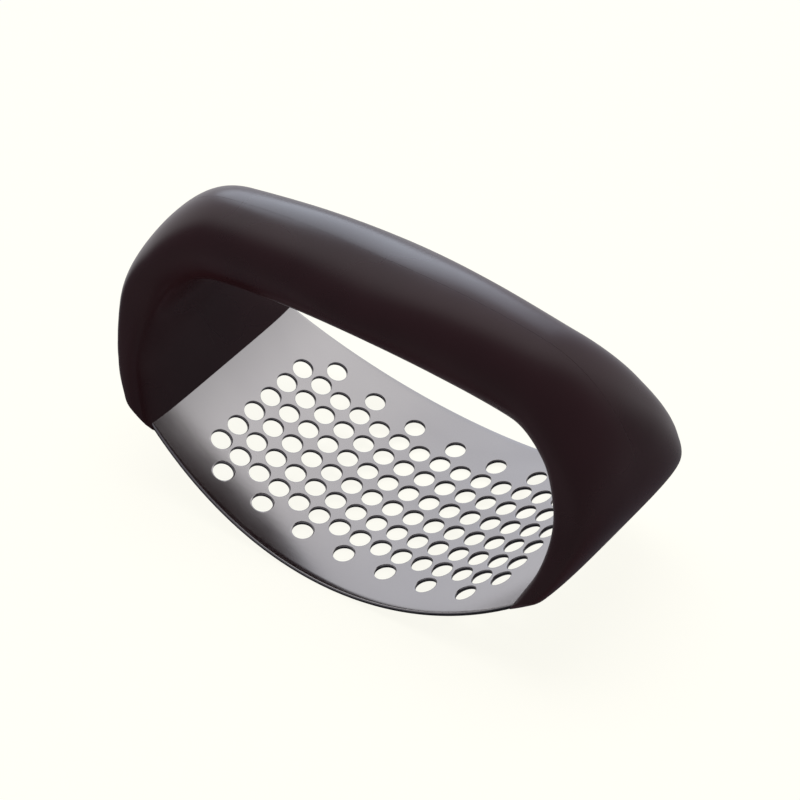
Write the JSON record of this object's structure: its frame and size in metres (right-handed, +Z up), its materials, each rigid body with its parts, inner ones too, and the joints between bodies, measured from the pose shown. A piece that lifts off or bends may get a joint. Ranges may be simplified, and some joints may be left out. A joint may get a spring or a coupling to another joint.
{
  "type": "rocker garlic press",
  "caption": "Rocker garlic press: a curved perforated steel plate held by an arched hollow plastic handle, rocked over cloves to crush them.",
  "frame": {"origin": "middle of the box's base, which is the lowest point of the curved plate's underside", "axes": "+X along the length, from leg to leg; +Y across the width, away from the user; +Z up, from the plate to the handle"},
  "size_m": [0.109, 0.0512, 0.0599],
  "materials": {
    "plate_steel": "satin polished stainless steel",
    "handle_plastic": "glossy moulded plastic, black with a slight plum tone",
    "pin_steel": "ground steel"
  },
  "bodies": {
    "root": {"rocker_plate": "plate_steel", "front_handle_shell": "handle_plastic", "rear_handle_shell": "handle_plastic", "left_plate_pin": "pin_steel", "right_plate_pin": "pin_steel"}
  },
  "joints": []
}
